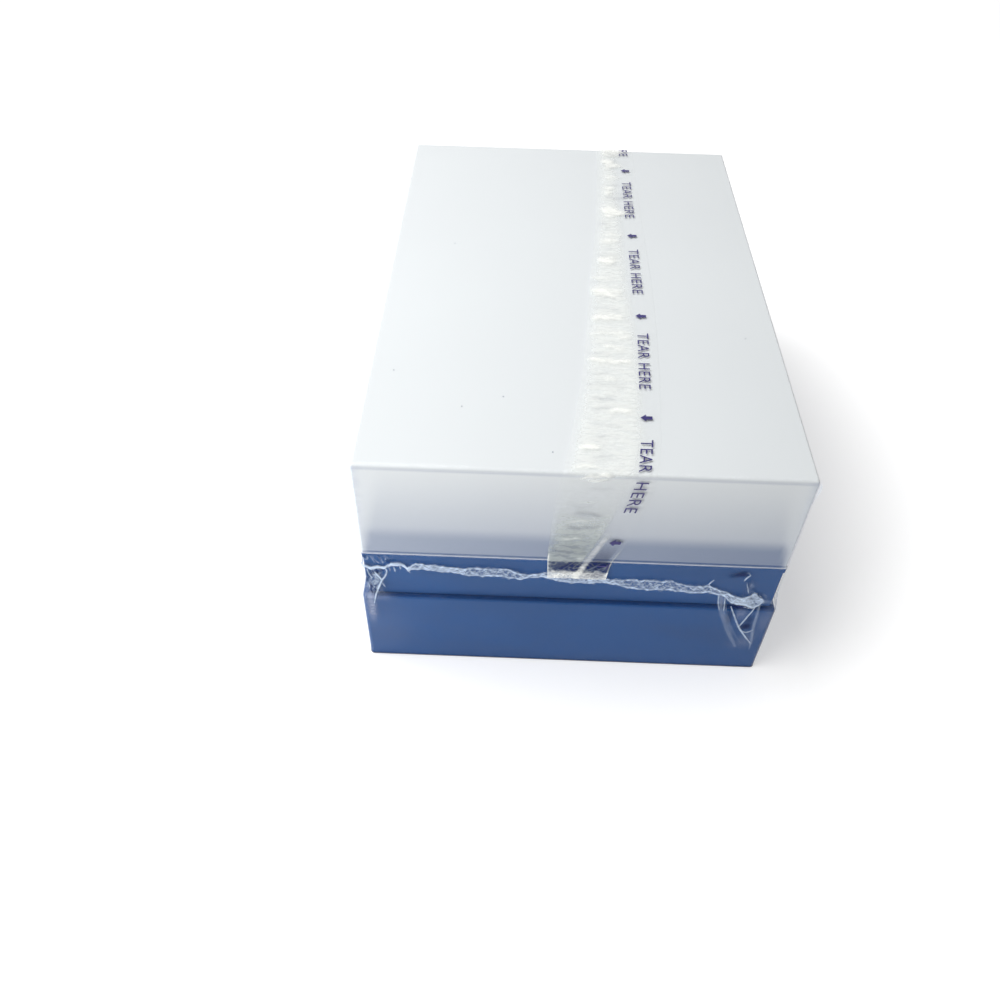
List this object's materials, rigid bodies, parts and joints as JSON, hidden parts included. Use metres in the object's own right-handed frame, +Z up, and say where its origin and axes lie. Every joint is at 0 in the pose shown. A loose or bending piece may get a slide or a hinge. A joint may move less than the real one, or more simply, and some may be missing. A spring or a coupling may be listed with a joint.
{
  "type": "box of pipette tips",
  "caption": "Sealed rack box of pipette tips: blue base on the microplate footprint, frosted lid, tips hanging in a deck plate, clear shrink film with a tear tape.",
  "frame": {"origin": "centre of the underside that the box stands on", "axes": "+Z up, +Y along the long side away from the front end, +X to the right seen from the front"},
  "size_m": [0.0862, 0.1284, 0.0589],
  "materials": {
    "blue_plastic": "satin moulded polypropylene",
    "tip_plastic": "natural translucent polypropylene",
    "frosted_plastic": "frosted translucent polypropylene",
    "clear_film": "clear shrink film",
    "tape_film": "printed tear tape"
  },
  "bodies": {
    "root": {"base_tray": "blue_plastic", "rack_frame": "blue_plastic", "tip_deck": "tip_plastic", "lid": "frosted_plastic", "film_lower": "clear_film", "film_upper": "clear_film", "tear_tape": "tape_film"}
  },
  "joints": []
}
